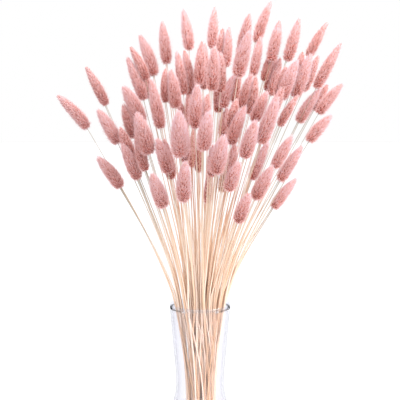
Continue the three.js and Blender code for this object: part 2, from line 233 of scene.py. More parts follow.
def head_from(row, y):
    """A head whose foot lies at depth y: its foot, tip, stem direction, length and width."""
    tip_across, tip_up, foot_across, foot_up, width = row
    foot = seen_at(foot_across, foot_up, y)
    flat_tip = seen_at(tip_across, tip_up, y)
    tip = seen_at(tip_across, tip_up, y * spread(flat_tip[2]) / spread(foot[2]))
    stem_way = foot - stem_at(foot, foot[2] - 1)
    stem_way = stem_way / np.linalg.norm(stem_way)
    length = float(np.linalg.norm(tip - foot))
    turn = foot + stem_way * NOD_SHARE * length
    return {"foot": foot, "turn": turn, "tip": tip, "way": stem_way, "length": length, "width": width}


def settle(row, corners):
    """The head of a row of the list, at the depth where its solid has it."""
    foot, off = corner_seen(corners, row[2], row[3])
    if off < NEAR_ENOUGH:
        return head_from(row, foot[1])
    tip, off = corner_seen(corners, row[0], row[1])
    y = tip[1]
    for _ in range(DEPTH_STEPS):
        y += tip[1] - head_from(row, y)["tip"][1]
    return head_from(row, y)


sprays = []
number = 0
for rows in SPRAYS:
    numbers = [f"{number + k + 1:02d}" for k in range(len(rows))]
    number += len(rows)
    node = ("heads_" if len(rows) > 1 else "head_") + "_".join(numbers)
    corners = corners_of(node)
    sprays.append({"node": node, "numbers": numbers, "heads": [settle(row, corners) for row in rows]})
heads = [head for spray in sprays for head in spray["heads"]]
depths = [head["foot"][1] for head in heads]
print("depths from", round(min(depths)), "to", round(max(depths)), "mm")

# %% [markdown]
# ## A small language for materials
#
# Materials are easier to read as sums than as boxes and wires. The class below wraps one output of
# a node. Plus, minus and times add Math nodes, also with a plain number on the left. Colours are
# mixed by their own node, because a Math node would turn them grey. One function makes every other
# node, whether it is in a material, in a Geometry Nodes tree or in the surroundings.

# %% Making nodes
def fill(tree, socket, value):
    """Gives a socket a number or a colour, or links it to an amount or an output."""
    if isinstance(value, Amount):
        value = value.socket
    if isinstance(value, bpy.types.NodeSocket):
        tree.links.new(value, socket)
    else:
        socket.default_value = value


def new_node(tree, kind, settings=None, sockets=None):
    """Any node: its settings first, then the values or links of its sockets."""
    made = tree.nodes.new(kind)
    for key, value in (settings or {}).items():
        setattr(made, key, value)
    for key, value in (sockets or {}).items():
        fill(tree, made.inputs[key], value)
    return made


class Amount:
    """A number that changes over a surface."""

    def __init__(self, finish, socket):
        self.finish = finish
        self.socket = socket

    def _sum(self, operation, first, second, clamp=False):
        settings = {"operation": operation, "use_clamp": clamp}
        made = self.finish.node("ShaderNodeMath", settings, {0: first, 1: second})
        return Amount(self.finish, made.outputs[0])

    def __add__(self, other):
        return self._sum("ADD", self, other)

    def __radd__(self, other):
        return self._sum("ADD", other, self)

    def __sub__(self, other):
        return self._sum("SUBTRACT", self, other)

    def __rsub__(self, other):
        return self._sum("SUBTRACT", other, self)

    def __mul__(self, other):
        return self._sum("MULTIPLY", self, other)

    def __rmul__(self, other):
        return self._sum("MULTIPLY", other, self)

    def between(self):
        """The amount, kept from 0 to 1."""
        return self._sum("ADD", self, 0.0, clamp=True)


print("amounts can be added, taken away and multiplied")


# %% Making materials
RIGHT, BACK, UP = 0, 1, 2


class Finish:
    """A material that is being made."""

    def __init__(self, name):
        self.material = bpy.data.materials.new(name)
        self.material.use_nodes = True
        self.tree = self.material.node_tree
        self.shader = self.tree.nodes["Principled BSDF"]

    def node(self, kind, settings=None, sockets=None):
        """A node of this material."""
        return new_node(self.tree, kind, settings, sockets)

    def put(self, label, value):
        """Gives one of the main shader's sockets a value or a link."""
        fill(self.tree, self.shader.inputs[label], value)

    def end(self, label, value):
        """Links one of the sockets that end the material."""
        fill(self.tree, self.tree.nodes["Material Output"].inputs[label], value)

    def stored(self, name):
        """A number stored on the mesh."""
        made = self.node("ShaderNodeAttribute", {"attribute_name": name, "attribute_type": "GEOMETRY"})
        return Amount(self, made.outputs["Fac"])

    def place(self, axis):
        """Where a point of the piece is along an axis, in metres."""
        place = self.node("ShaderNodeTexCoord").outputs["Object"]
        return Amount(self, self.node("ShaderNodeSeparateXYZ", {}, {0: place}).outputs[axis])

    def noise(self, size, detail=2.0, stretch=(1.0, 1.0, 1.0)):
        """A cloudy pattern. size is the size of its clouds in metres."""
        place = self.node("ShaderNodeTexCoord").outputs["Object"]
        laid = self.node("ShaderNodeMapping", {}, {"Vector": place, "Scale": stretch})
        made = self.node("ShaderNodeTexNoise", {},
                         {"Vector": laid.outputs[0], "Scale": 1 / size, "Detail": detail})
        return Amount(self, made.outputs["Fac"])

    def ramp(self, amount, low, high):
        """0 where the amount is under low, 1 where it is over high."""
        made = self.node("ShaderNodeMapRange", {"interpolation_type": "SMOOTHSTEP"},
                         {"Value": amount, "From Min": low, "From Max": high})
        return Amount(self, made.outputs["Result"])

    def mix(self, share, first, second):
        """A colour between two others."""
        made = self.node("ShaderNodeMix", {"data_type": "RGBA"}, {"Factor": share, 6: first, 7: second})
        return made.outputs[2]


def paint(red, green, blue):
    """A colour from its values on a screen, 0 to 255."""
    shares = [value / 255 for value in (red, green, blue)]
    return tuple(s / 12.92 if s <= 0.04045 else ((s + 0.055) / 1.055) ** 2.4 for s in shares) + (1.0,)


print("a screen's middle grey is", [round(c, 3) for c in paint(128, 128, 128)[:3]])

# %% [markdown]
# ## The finish of the down
#
# Bunny tail heads are covered all over with fine hairs. Dyed a dusty pink, the hairs are deep rose
# where they stand on the head and fade to nearly white-pink at their ends, so that a head is darker
# in its middle, where one looks down between the hairs, and pale along its outline and at its tip.
# Single hairs take the dye differently, and so do whole heads. The mesh brings four numbers for
# this: reach along a hair, the tone of each hair, the place along the head, and the dye of the
# head, which on heads behind another also carries their painted shade. All of them add up to one
# number, from dark to pale, which picks the colour. The heads on the left are painted a little
# darker and greyer, as painted shade for the dimmer light on that side. Light that wanders among
# real hairs comes out again as a faint rosy glow. Spikes are too coarse for that, so the finish
# has a very weak glow of its own.

# %% Pink down
DARK = paint(114, 42, 26)
ROSE = paint(202, 119, 103)
PINK = paint(233, 191, 184)
PALE = paint(238, 218, 227)
TAN = paint(214, 168, 140)
# painted shade: the greyer colour given to the heads on the left, where the light is dimmer
LEFT_SHADE_GREY = paint(176, 134, 136)
GLOW = paint(214, 120, 108)
GLOW_STRENGTH = 0.045
SHEEN_TINT = paint(255, 225, 228)
PATCH_SIZE = 0.006
GRAIN_SIZE = 0.0011
BY_TONE, BY_REACH, BY_PATCH, BY_DYE_AND_SHADE, BY_GRAIN = 0.48, 0.62, 0.24, 0.1, 0.38
BY_FOOT, BY_TIP, BY_PAINTED_SIDE_LIGHT = 0.04, 0.15, 0.1
LEFT_TO_MIDDLE = (-0.13, 0.02)
GRAIN_RANGE, FOOT_END, TIP_END = (0.35, 0.65), (0.0, 0.3), (0.35, 1.0)
TO_ROSE, TO_PINK, TO_PALE = (0.0, 0.3), (0.25, 0.55), (0.54, 1.0)
TAN_HAIRS = (0.93, 0.97)
TAN_SHARE = 0.5
LEFT_SHADE_SHARE = 0.42

down = Finish("dusty pink down")
reach = down.stored("reach")
tone = down.stored("tone")
along = down.stored("along")
# the random dye of each head, painted darker on heads behind another as painted shade
dye_and_shade = down.stored("dye_and_shade")
patches = down.noise(PATCH_SIZE)
grain = down.ramp(down.noise(GRAIN_SIZE, 1.0), *GRAIN_RANGE)
foot_share = 1 - down.ramp(along, *FOOT_END)
tip_share = down.ramp(along, *TIP_END)
ripe = BY_TONE * tone + BY_REACH * reach + BY_PATCH * (patches - 0.5) + BY_DYE_AND_SHADE * (dye_and_shade - 0.5)
ripe = ripe + BY_GRAIN * (grain - 0.5)
# painted shade and light: heads darker and greyer on the left, lighter from the middle on, for light from the
# right
painted_side_light = down.ramp(down.place(RIGHT), *LEFT_TO_MIDDLE)
ripe = (ripe + BY_FOOT * foot_share + BY_TIP * tip_share + BY_PAINTED_SIDE_LIGHT * (painted_side_light - 0.5)).between()
colour = down.mix(down.ramp(ripe, *TO_ROSE), DARK, ROSE)
colour = down.mix(down.ramp(ripe, *TO_PINK), colour, PINK)
colour = down.mix(down.ramp(ripe, *TO_PALE), colour, PALE)
colour = down.mix(down.ramp(tone, *TAN_HAIRS) * TAN_SHARE, colour, TAN)
colour = down.mix((1 - painted_side_light) * LEFT_SHADE_SHARE, colour, LEFT_SHADE_GREY)
down.put("Base Color", colour)
down.put("Roughness", 0.85)
down.put("Specular IOR Level", 0.2)
down.put("Emission Color", GLOW)
down.put("Emission Strength", GLOW_STRENGTH)
down.put("Sheen Weight", 0.2)
down.put("Sheen Roughness", 0.5)
down.put("Sheen Tint", SHEEN_TINT)
print("nodes in the down's finish:", len(down.tree.nodes))

# %% [markdown]
# ## Seed heads
#
# Each head is a slim closed core under a coat of hairs. The core is a stack of rings along the
# head's bent axis, fullest a fifth of the way up. A Geometry Nodes tree then scatters points on it
# and stands one hair on each: a thin three-sided spike, leaning from the surface towards the tip.
# Hair curves would be lighter, but spikes are a real closed surface that every program can show.
# Near the foot the hairs are short and stand out, towards the tip they lie along the head. They
# grow in three layers, as real ones do: stout bristles close to the head, finer fluff over them,
# and a few long thin hairs of fuzz that soften the outline. The first two lean towards the middle
# of the nearest tuft, which gives the head its ridges. Where heads touch, those behind the first
# one are in its shade, so their dye is painted darker as painted shade, which tells them apart.

# %% The core of a head
CORE_FROM = 0.015
CORE_TO = 0.96
CORE_RINGS = 16
CORE_SIDES = 12
CORE_LEAST = 0.35
OUTLINE_STOPS = (0.0, 0.05, 0.12, 0.22, 0.35, 0.5, 0.65, 0.8, 0.9, 1.0)
OUTLINE_SHARES = (0.6, 0.88, 1.0, 1.03, 1.01, 0.95, 0.83, 0.62, 0.4, 0.08)
HAIR_STOPS = (0.0, 0.15, 0.35, 0.65, 1.0)
LIFT_DEGREES = (85, 52, 32, 21, 7)
HAIR_LENGTHS = (2.3, 4.2, 5.5, 5.3, 4.2)
USUAL_WIDTH = 15.0
LEAST_HAIR, MOST_HAIR = 0.65, 1.15
STANDING_OUT = 0.85
SHADED = 1.1


def hair_at(head, along):
    """How far a hair lifts off the head, in radians, and how long it is."""
    lift = math.radians(np.interp(along, HAIR_STOPS, LIFT_DEGREES))
    size = min(MOST_HAIR, max(LEAST_HAIR, head["width"] / USUAL_WIDTH))
    return lift, np.interp(along, HAIR_STOPS, HAIR_LENGTHS) * size


def core_radius(head, along):
    """The core's radius: the head's outline less what its hairs stand out."""
    outline = head["width"] / 2 * np.interp(along, OUTLINE_STOPS, OUTLINE_SHARES)
    lift, length = hair_at(head, along)
    return max(CORE_LEAST, outline - STANDING_OUT * length * math.sin(lift))


def on_axis(head, along):
    """A point of a head's bent axis, and the direction that the axis has there."""
    foot, turn, tip = head["foot"], head["turn"], head["tip"]
    rest = 1 - along
    point = rest * rest * foot + 2 * rest * along * turn + along * along * tip
    way = rest * (turn - foot) + along * (tip - turn)
    return point, way / np.linalg.norm(way)


def core_rings(head):
    """The corners of a core, ring by ring, with what each ring tells the hairs."""
    corners, facts = [], []
    for ring in range(CORE_RINGS):
        share = ring / (CORE_RINGS - 1)
        along = CORE_FROM + (CORE_TO - CORE_FROM) * share
        point, way = on_axis(head, along)
        side = np.cross([0.0, 1.0, 0.0], way)
        side = side / np.linalg.norm(side)
        front = np.cross(way, side)
        radius = core_radius(head, along)
        for k in range(CORE_SIDES):
            angle = 2 * math.pi * k / CORE_SIDES
            corners.append(point + radius * (side * math.cos(angle) + front * math.sin(angle)))
            facts.append((along, *hair_at(head, along), *way))
    return corners, facts


def core_mesh(name, heads_here, seed):
    """One mesh with the closed cores of these heads."""
    corners, facts, faces, dyes_and_shade = [], [], [], []
    draw = random.Random(seed)
    for place, head in enumerate(heads_here):
        first = len(corners)
        ring_corners, ring_facts = core_rings(head)
        corners += ring_corners
        facts += ring_facts
        # painted shade: heads behind the first one of a row get a darker dye value
        dyes_and_shade += [draw.random() - SHADED * min(place, 1)] * len(ring_corners)
        for ring in range(CORE_RINGS - 1):
            for k in range(CORE_SIDES):
                a = first + ring * CORE_SIDES + k
                b = first + ring * CORE_SIDES + (k + 1) % CORE_SIDES
                faces.append((a, b, b + CORE_SIDES, a + CORE_SIDES))
        last = first + (CORE_RINGS - 1) * CORE_SIDES
        faces.append(tuple(range(first + CORE_SIDES - 1, first - 1, -1)))
        faces.append(tuple(range(last, last + CORE_SIDES)))
    mesh = bpy.data.meshes.new(name)
    mesh.from_pydata([tuple(c * MM) for c in corners], [], faces)
    mesh.polygons.foreach_set("use_smooth", [True] * len(faces))
    along, lift, size = zip(*(f[:3] for f in facts))
    for label, values in {"along": along, "lift": lift, "grown": size, "dye_and_shade": dyes_and_shade}.items():
        mesh.attributes.new(label, "FLOAT", "POINT").data.foreach_set("value", values)
    ways = mesh.attributes.new("way", "FLOAT_VECTOR", "POINT")
    ways.data.foreach_set("vector", [c for f in facts for c in f[3:]])
    return mesh


print("core radii:", [round(core_radius(heads[0], k / 10), 1) for k in range(11)], "mm")


# %% A helper for Geometry Nodes trees
class Tree:
    """A Geometry Nodes tree that is being made."""

    def __init__(self, name, sizes):
        self.tree = bpy.data.node_groups.new(name, "GeometryNodeTree")
        for label, kind in [("Geometry", "NodeSocketGeometry"), *sizes]:
            self.tree.interface.new_socket(label, in_out="INPUT", socket_type=kind)
        self.tree.interface.new_socket("Geometry", in_out="OUTPUT", socket_type="NodeSocketGeometry")
        self.inlet = self.tree.nodes.new("NodeGroupInput")
        self.outlet = self.tree.nodes.new("NodeGroupOutput")

    def asked(self, label):
        """One of the tree's named inputs."""
        return self.inlet.outputs[label]

    def node(self, kind, settings=None, sockets=None):
        """A node of this tree."""
        return new_node(self.tree, kind, settings, sockets)

    def vector(self, operation, first, second):
        """Vector maths on two vectors, or on a vector and a scale."""
        sockets = {0: first, "Scale" if operation == "SCALE" else 1: second}
        return self.node("ShaderNodeVectorMath", {"operation": operation}, sockets).outputs[0]

    def number(self, operation, first, second):
        """Maths on two numbers."""
        return self.node("ShaderNodeMath", {"operation": operation}, {0: first, 1: second}).outputs[0]

    def chance(self, low, high, seed):
        """A random number for each element."""
        made = self.node("FunctionNodeRandomValue", {"data_type": "FLOAT"}, {2: low, 3: high, "Seed": seed})
        return made.outputs[1]

    def about(self, value, spread, seed):
        """A random number for each element, from one share of a value to another."""
        return self.chance(value * spread[0], value * spread[1], seed)

    def stored(self, label, kind="FLOAT"):
        """A value stored on the mesh."""
        return self.node("GeometryNodeInputNamedAttribute", {"data_type": kind}, {"Name": label}).outputs[0]

    def store(self, geometry, label, value, domain="POINT"):
        """The same geometry with a number stored on it."""
        settings = {"data_type": "FLOAT", "domain": domain}
        made = self.node("GeometryNodeStoreNamedAttribute", settings,
                         {"Geometry": geometry, "Name": label, "Value": value})
        return made.outputs[0]

    def finish(self, geometry, material):
        """Ends the tree: instances made real, then the material."""
        real = self.node("GeometryNodeRealizeInstances", {}, {"Geometry": geometry})
        dressed = self.node("GeometryNodeSetMaterial", {},
                            {"Geometry": real.outputs[0], "Material": material})
        fill(self.tree, self.outlet.inputs[0], dressed.outputs[0])
        return self.tree


def grown(piece, tree, **values):
    """Runs a tree on a piece and keeps the result as its plain mesh."""
    modifier = piece.modifiers.new(tree.name, "NODES")
    modifier.node_group = tree
    for item in tree.interface.items_tree:
        if item.in_out == "INPUT" and item.name in values:
            modifier[item.identifier] = values[item.name]
    graph = bpy.context.evaluated_depsgraph_get()
    plain = bpy.data.meshes.new_from_object(piece.evaluated_get(graph), preserve_all_data_layers=True,
                                            depsgraph=graph)
    piece.modifiers.clear()
    piece.data = plain
    return piece


def new_piece(name, mesh):
    """An object at the origin that shows a mesh."""
    piece = bpy.data.objects.new(name, mesh)
    bpy.context.scene.collection.objects.link(piece)
    return piece


def triangles(mesh):
    """How many triangles a mesh has."""
    return sum(len(face.vertices) - 2 for face in mesh.polygons)


print("helpers for trees are ready")


# %% One hair, and the middles of the tufts
TUFTS_AT_MOST = 4e5

MEASURES = ("Hairs per square metre", "Hair size", "Hair thickness", "Tuft spacing")
coat = Tree("coat of hairs", [(label, "NodeSocketFloat") for label in MEASURES] + [("Seed", "NodeSocketInt")])
core = coat.asked("Geometry")
way = coat.stored("way", "FLOAT_VECTOR")
spike = coat.node("GeometryNodeMeshCone", {"fill_type": "NGON"},
                  {"Vertices": 3, "Side Segments": 1, "Radius Top": 0.0, "Radius Bottom": 0.5,
                   "Depth": 1.0})
position = coat.node("GeometryNodeInputPosition").outputs[0]
height = coat.node("ShaderNodeSeparateXYZ", {}, {0: position}).outputs[2]
spike = coat.store(spike.outputs["Mesh"], "reach", height)
tufts = coat.node("GeometryNodeDistributePointsOnFaces", {"distribute_method": "POISSON"},
                  {"Mesh": core, "Distance Min": coat.asked("Tuft spacing"), "Density Max": TUFTS_AT_MOST,
                   "Seed": coat.asked("Seed")}).outputs["Points"]
print("nodes so far:", len(coat.tree.nodes))

# %% The coat of hairs
TANGLE = 0.08
TUFT_TONE = 0.35
TUFT_TONE_SEED = 31
CORE_TONE = 0.7
LENGTHS, LIFTS, THICKNESSES = (0.7, 1.12), (0.75, 1.25), (0.6, 1.3)


def of_tuft(kind, value, index):
    """A value that every hair takes from its tuft."""
    return coat.node("GeometryNodeSampleIndex", {"data_type": kind},
                     {"Geometry": tufts, "Value": value, "Index": index}).outputs[0]


def layer(seed, share, thicker, longer, lift_by, gathers, tones):
    """One layer of hairs on the core, gathered into tufts."""
    density = coat.number("MULTIPLY", coat.asked("Hairs per square metre"), share)
    own_seed = coat.number("ADD", coat.asked("Seed"), seed)
    places = coat.node("GeometryNodeDistributePointsOnFaces", {"distribute_method": "RANDOM"},
                       {"Mesh": core, "Density": density, "Seed": own_seed})
    position = coat.node("GeometryNodeInputPosition").outputs[0]
    nearest = coat.node("GeometryNodeSampleNearest", {"domain": "POINT"}, {"Geometry": tufts}).outputs[0]
    size = coat.number("MULTIPLY", coat.asked("Hair size"), coat.stored("grown"))
    size = coat.number("MULTIPLY", size, coat.about(longer, LENGTHS, seed + 3))
    inwards = coat.vector("SUBTRACT", of_tuft("FLOAT_VECTOR", position, nearest), position)
    inwards = coat.vector("SCALE", inwards, coat.number("DIVIDE", gathers, size))
    lift = coat.number("MULTIPLY", coat.stored("lift"), coat.about(lift_by, LIFTS, seed + 1))
    lean_out = coat.vector("SCALE", places.outputs["Normal"], coat.number("SINE", lift, 0.0))
    lean_up = coat.vector("SCALE", way, coat.number("COSINE", lift, 0.0))
    tangle = coat.node("FunctionNodeRandomValue", {"data_type": "FLOAT_VECTOR"},
                       {0: (-TANGLE,) * 3, 1: (TANGLE,) * 3, "Seed": seed + 2}).outputs[0]
    lean = coat.vector("ADD", coat.vector("ADD", lean_out, lean_up), coat.vector("ADD", tangle, inwards))
    turned = coat.node("FunctionNodeAlignRotationToVector", {"axis": "Z"}, {"Vector": lean}).outputs[0]
    thick = coat.about(thicker, THICKNESSES, seed + 4)
    thick = coat.number("MULTIPLY", coat.asked("Hair thickness"), thick)
    stretch = coat.node("ShaderNodeCombineXYZ", {}, {0: thick, 1: thick, 2: size}).outputs[0]
    tuft_tone = of_tuft("FLOAT", coat.chance(0.0, 1.0, TUFT_TONE_SEED), nearest)
    marked = coat.store(places.outputs["Points"], "tuft tone", tuft_tone)
    sockets = {"Points": marked, "Instance": spike, "Rotation": turned, "Scale": stretch}
    hairs = coat.node("GeometryNodeInstanceOnPoints", {}, sockets).outputs[0]
    tone = coat.number("ADD", coat.number("MULTIPLY", coat.stored("tuft tone"), TUFT_TONE),
                       coat.number("MULTIPLY", coat.chance(*tones, seed + 5), 1 - TUFT_TONE))
    return coat.store(hairs, "tone", tone, "INSTANCE")


bristles = layer(seed=10, share=0.4, thicker=1.3, longer=0.85, lift_by=0.85, gathers=0.8, tones=(-0.2, 0.8))
fluff = layer(seed=20, share=0.5, thicker=0.85, longer=1.05, lift_by=1.05, gathers=0.65, tones=(0.25, 1.05))
fuzz = layer(seed=50, share=0.17, thicker=0.36, longer=1.5, lift_by=1.5, gathers=0.1, tones=(0.8, 1.0))
core_tone = coat.number("MULTIPLY", coat.stored("along"), CORE_TONE)
under = coat.store(coat.store(core, "reach", 0.0), "tone", core_tone)
coated = coat.node("GeometryNodeJoinGeometry")
for part in (bristles, fluff, fuzz, under):
    coat.tree.links.new(part, coated.inputs[0])
coat_tree = coat.finish(coated.outputs[0], down.material)
print("nodes in the coat's tree:", len(coat_tree.nodes))

# %% Grow every head
HAIRS_PER_SQUARE_METRE = 2.75e6
HAIR_THICKNESS = 0.5 * MM
TUFT_SPACING = 1.5 * MM

head_pieces = []
for index, spray in enumerate(sprays):
    name = "fluffy_" + spray["node"]
    piece = new_piece(name, core_mesh(name, spray["heads"], index))
    measures = zip(MEASURES, (HAIRS_PER_SQUARE_METRE, MM, HAIR_THICKNESS, TUFT_SPACING))
    grown(piece, coat_tree, **dict(measures), Seed=index)
    head_pieces.append((piece, spray["node"]))
counts = [triangles(piece.data) for piece, _ in head_pieces]
print("head pieces:", len(counts), "triangles:", sum(counts), "most in one:", max(counts))

# %% [markdown]
# ## Stems
#
# A dried grass stem is a thin straw tube, about two millimetres thick where it is cut and less than
# half that under its head. Here every stem is a line of points: from its foot on the vase's floor
# through the waist and the mouth, then out along the fan to its head. Pushing the lines apart
# wherever they come too close keeps them from running into each other. A real bunch also has stems
# whose heads are hidden by others, so most heads that are low or at the back get a second stem
# close beside the first. A Geometry Nodes tree turns the lines into round tubes with closed ends.

# %% The routes of the stems
STEM_SPACING = 2.1
MOUTH_BUNDLE_RADIUS = 25.2
NECK_HEIGHT = 112.0
NECK_BUNDLE_RADIUS = 16.5
FEET_BUNDLE_RADIUS = 13.5
FEET_HEIGHT = GLASS_FLOOR + 1.0
NECK_TURN = math.radians(16)
SPACING_PASSES = 150
SPACING_SLACK = 0.05
DRAWN_BACK = 0.9
CLIMB_STOPS = (0.25, 0.5, 0.75)
FINE_STEPS = 12
STEM_POINTS = 26
IN_THE_HEAD = 3.0
SECOND_STEMS = 60
LOW_HEADS = 66
BACK_COUNTS = 3
NEAR_ITS_HOST = (-7, 7)
SECOND_STEM_ASIDE = 1.1
CROSSING_TURN = math.radians(48)


def spaced_out(points, spacing, radius):
    """Pushes points in a disc apart until neighbours keep their spacing."""
    points = [list(p) for p in points]
    for _ in range(SPACING_PASSES):
        for a in range(len(points)):
            pa = points[a]
            for b in range(a):
                pb = points[b]
                dx, dy = pa[0] - pb[0], pa[1] - pb[1]
                apart = math.hypot(dx, dy)
                if apart < spacing:
                    push = (spacing - apart) / 2 / apart
                    pa[0] += dx * push
                    pa[1] += dy * push
                    pb[0] -= dx * push
                    pb[1] -= dy * push
            reach_out = math.hypot(*pa)
            if reach_out > radius:
                pa[0] *= radius / reach_out
                pa[1] *= radius / reach_out
    return points


def smooth_through(knots, steps):
    """Points on a smooth line through knots. It starts at the second and ends at the last but one."""
    found = []
    for k in range(1, len(knots) - 2):
        p0, p1, p2, p3 = knots[k - 1:k + 3]
        for t in np.linspace(0, 1, steps, endpoint=False):
            found.append(0.5 * (2 * p1 + (p2 - p0) * t + (2 * p0 - 5 * p1 + 4 * p2 - p3) * t ** 2
                                + (3 * p1 - p0 - 3 * p2 + p3) * t ** 3))
    return np.array([*found, knots[-2]])


def even_line(points, count):
    """A smooth line through points, evenly stepped."""
    knots = [2 * points[0] - points[1], *points, 2 * points[-1] - points[-2]]
    fine = smooth_through(knots, FINE_STEPS)
    steps = np.concatenate([[0], np.cumsum(np.linalg.norm(np.diff(fine, axis=0), axis=1))])
    wanted = np.linspace(0, steps[-1], count)
    return np.stack([np.interp(wanted, steps, fine[:, i]) for i in range(3)], axis=1)


def beside(places, taken, spacing, radius):
    """Each place in turn, pushed clear of those that are taken."""
    taken = [np.array(p) for p in taken]
    found = []
    for place in places:
        spot = np.array(place, float)
        spot = spot * min(1.0, radius / np.linalg.norm(spot))
        for _ in range(SPACING_PASSES):
            arms = spot - np.array(taken)
            apart = np.linalg.norm(arms, axis=1)
            nearest = int(apart.argmin())
            if apart[nearest] >= spacing:
                break
            spot = spot + arms[nearest] / apart[nearest] * (spacing - apart[nearest] + SPACING_SLACK)
            if np.linalg.norm(spot) > radius:
                spot = spot * DRAWN_BACK * radius / np.linalg.norm(spot)
        taken.append(spot)
        found.append(spot)
    return found


def turned(places, share, turns):
    """Each place drawn in by a share and turned about the middle by its own turn."""
    cosines, sines = np.cos(turns), np.sin(turns)
    x, y = np.array(places).T
    return np.stack([(x * cosines - y * sines) * share, (x * sines + y * cosines) * share], axis=1)


print("room for the stems, from the middle:", MOUTH_BUNDLE_RADIUS, NECK_BUNDLE_RADIUS, FEET_BUNDLE_RADIUS)

# %% The lines of the stems
deal = random.Random(7)
crossings = [tuple(stem_at(head["foot"], VASE_HEIGHT)[:2]) for head in heads]
mouths = spaced_out(crossings, STEM_SPACING, MOUTH_BUNDLE_RADIUS)
behind = [BACK_COUNTS * max(0.0, head["foot"][1]) for head in heads]
lowest = sorted(range(len(heads)), key=lambda k: heads[k]["foot"][2] + abs(heads[k]["foot"][0]) - behind[k])
hosts = deal.sample(lowest[:LOW_HEADS], SECOND_STEMS)
starts = [np.array(crossings[k]) + [deal.uniform(*NEAR_ITS_HOST) for _ in range(2)] for k in hosts]
mouths = [*mouths, *beside(starts, mouths, STEM_SPACING, MOUTH_BUNDLE_RADIUS)]
turns = np.array([NECK_TURN + deal.uniform(-CROSSING_TURN, CROSSING_TURN) for _ in mouths])
necks = turned(mouths, NECK_BUNDLE_RADIUS / MOUTH_BUNDLE_RADIUS, turns)
necks = spaced_out(necks, STEM_SPACING, NECK_BUNDLE_RADIUS)
feet = turned(necks, FEET_BUNDLE_RADIUS / NECK_BUNDLE_RADIUS, turns)
feet = spaced_out(feet, STEM_SPACING, FEET_BUNDLE_RADIUS)
tops = [(head, 0.0) for head in heads] + [(heads[k], SECOND_STEM_ASIDE) for k in hosts]
routes = []
for (head, aside), foot, neck, mouth in zip(tops, feet, necks, mouths):
    side = np.cross(head["way"], SIGHT)
    under = head["foot"] + side * aside
    low = ((foot, FEET_HEIGHT), (neck, NECK_HEIGHT), (mouth, VASE_HEIGHT))
    stops = [np.array([*place, z]) for place, z in low]
    from_mouth = np.array(mouth) - stem_at(head["foot"], VASE_HEIGHT)[:2]
    for climb in CLIMB_STOPS:
        stop = stem_at(head["foot"], VASE_HEIGHT + (head["foot"][2] - VASE_HEIGHT) * climb)
        stop[:2] += from_mouth * (1 - climb) * (aside > 0)
        stops.append(stop + side * aside * climb)
    routes.append(even_line([*stops, under, under + head["way"] * IN_THE_HEAD], STEM_POINTS))
lengths = [np.linalg.norm(np.diff(route, axis=0), axis=1).sum() for route in routes]
print("stems:", len(routes), "longest:", round(max(lengths)), "mm")

# %% [markdown]
# ## The finish of the stems
#
# Dried stems are pale straw, each a little different, with fine streaks along them. Down in the
# vase, where light hardly reaches, they are painted brown as painted shade. Near the outer heads
# they are thin and greyish against the white, and in the depth of the bunch they are painted rosy
# and darker, as painted shade with the pink light that the heads around them throw. The material
# mixes the colours by height, by place and by how far up its stem a point is.

# %% Dry straw
PALE_STRAW = paint(236, 217, 202)
WARM_STRAW = paint(233, 198, 170)
VASE_SHADE_STRAW = paint(204, 163, 128)
GREY_STRAW = paint(158, 149, 134)
# painted shade with painted pink light thrown by the heads around: the colour of stems deep in the bunch
ROSY_SHADE_STRAW = paint(196, 136, 112)
STREAK_SIZE, STREAK_STRETCH, STREAK_MIDDLE = 0.004, (1.0, 1.0, 0.06), 0.35
SPOT_SIZE = 0.012
BY_STEM, BY_STREAK, BY_SPOT = 0.75, 0.5, 0.25
IN_THE_VASE = (0.13, 0.23)
VASE_SHADE_SHARE, LESS_ON_PALE = 0.95, 0.8
UNDER_THE_HEAD = (0.62, 0.92)
GREY_SHARE, LESS_INSIDE = 0.85, 0.6
BUNCH_MIDDLE = 0.01
INNER_FROM, INNER_TO = 0.03, 0.07
BACK_PART, HIGH_PART = (-0.015, 0.02), (0.24, 0.3)
ROSY_SHADE_SHARE = 0.8
PALE_STEMS = (0.15, 0.6)

straw = Finish("dry straw stems")
climb = straw.stored("climb")
stem_tone = straw.stored("tone")
streaks = straw.noise(STREAK_SIZE, 3.0, STREAK_STRETCH)
spots = straw.noise(SPOT_SIZE)
weathered = BY_STEM * stem_tone + BY_STREAK * (streaks - STREAK_MIDDLE) + BY_SPOT * (spots - 0.5)
colour = straw.mix(straw.ramp(weathered.between(), 0.1, 0.9), WARM_STRAW, PALE_STRAW)
pale_stem = straw.ramp(stem_tone, *PALE_STEMS)
# painted shade: stems low in the vase painted brown, less so on pale stems
painted_vase_shade = (1 - straw.ramp(straw.place(UP), *IN_THE_VASE)) * (VASE_SHADE_SHARE - LESS_ON_PALE * pale_stem)
colour = straw.mix(painted_vase_shade, colour, VASE_SHADE_STRAW)
aside = straw.place(RIGHT) - BUNCH_MIDDLE
inner = (1 - straw.ramp(aside, INNER_FROM, INNER_TO)) * straw.ramp(aside, -INNER_TO, -INNER_FROM)
greyed = straw.ramp(climb, *UNDER_THE_HEAD) * (GREY_SHARE - LESS_INSIDE * inner)
colour = straw.mix(greyed, colour, GREY_STRAW)
# painted shade and painted pink light: high stems in the middle and back of the bunch turn rosy and darker
painted_inner_shade = inner * straw.ramp(straw.place(BACK), *BACK_PART) * straw.ramp(straw.place(UP), *HIGH_PART)
colour = straw.mix(painted_inner_shade * ROSY_SHADE_SHARE, colour, ROSY_SHADE_STRAW)
straw.put("Base Color", colour)
straw.put("Roughness", 0.45 + 0.25 * streaks)
fibres = straw.node("ShaderNodeBump", {}, {"Strength": 0.25, "Distance": 0.0002, "Height": streaks})
straw.put("Normal", fibres.outputs[0])
print("nodes in the straw's finish:", len(straw.tree.nodes))

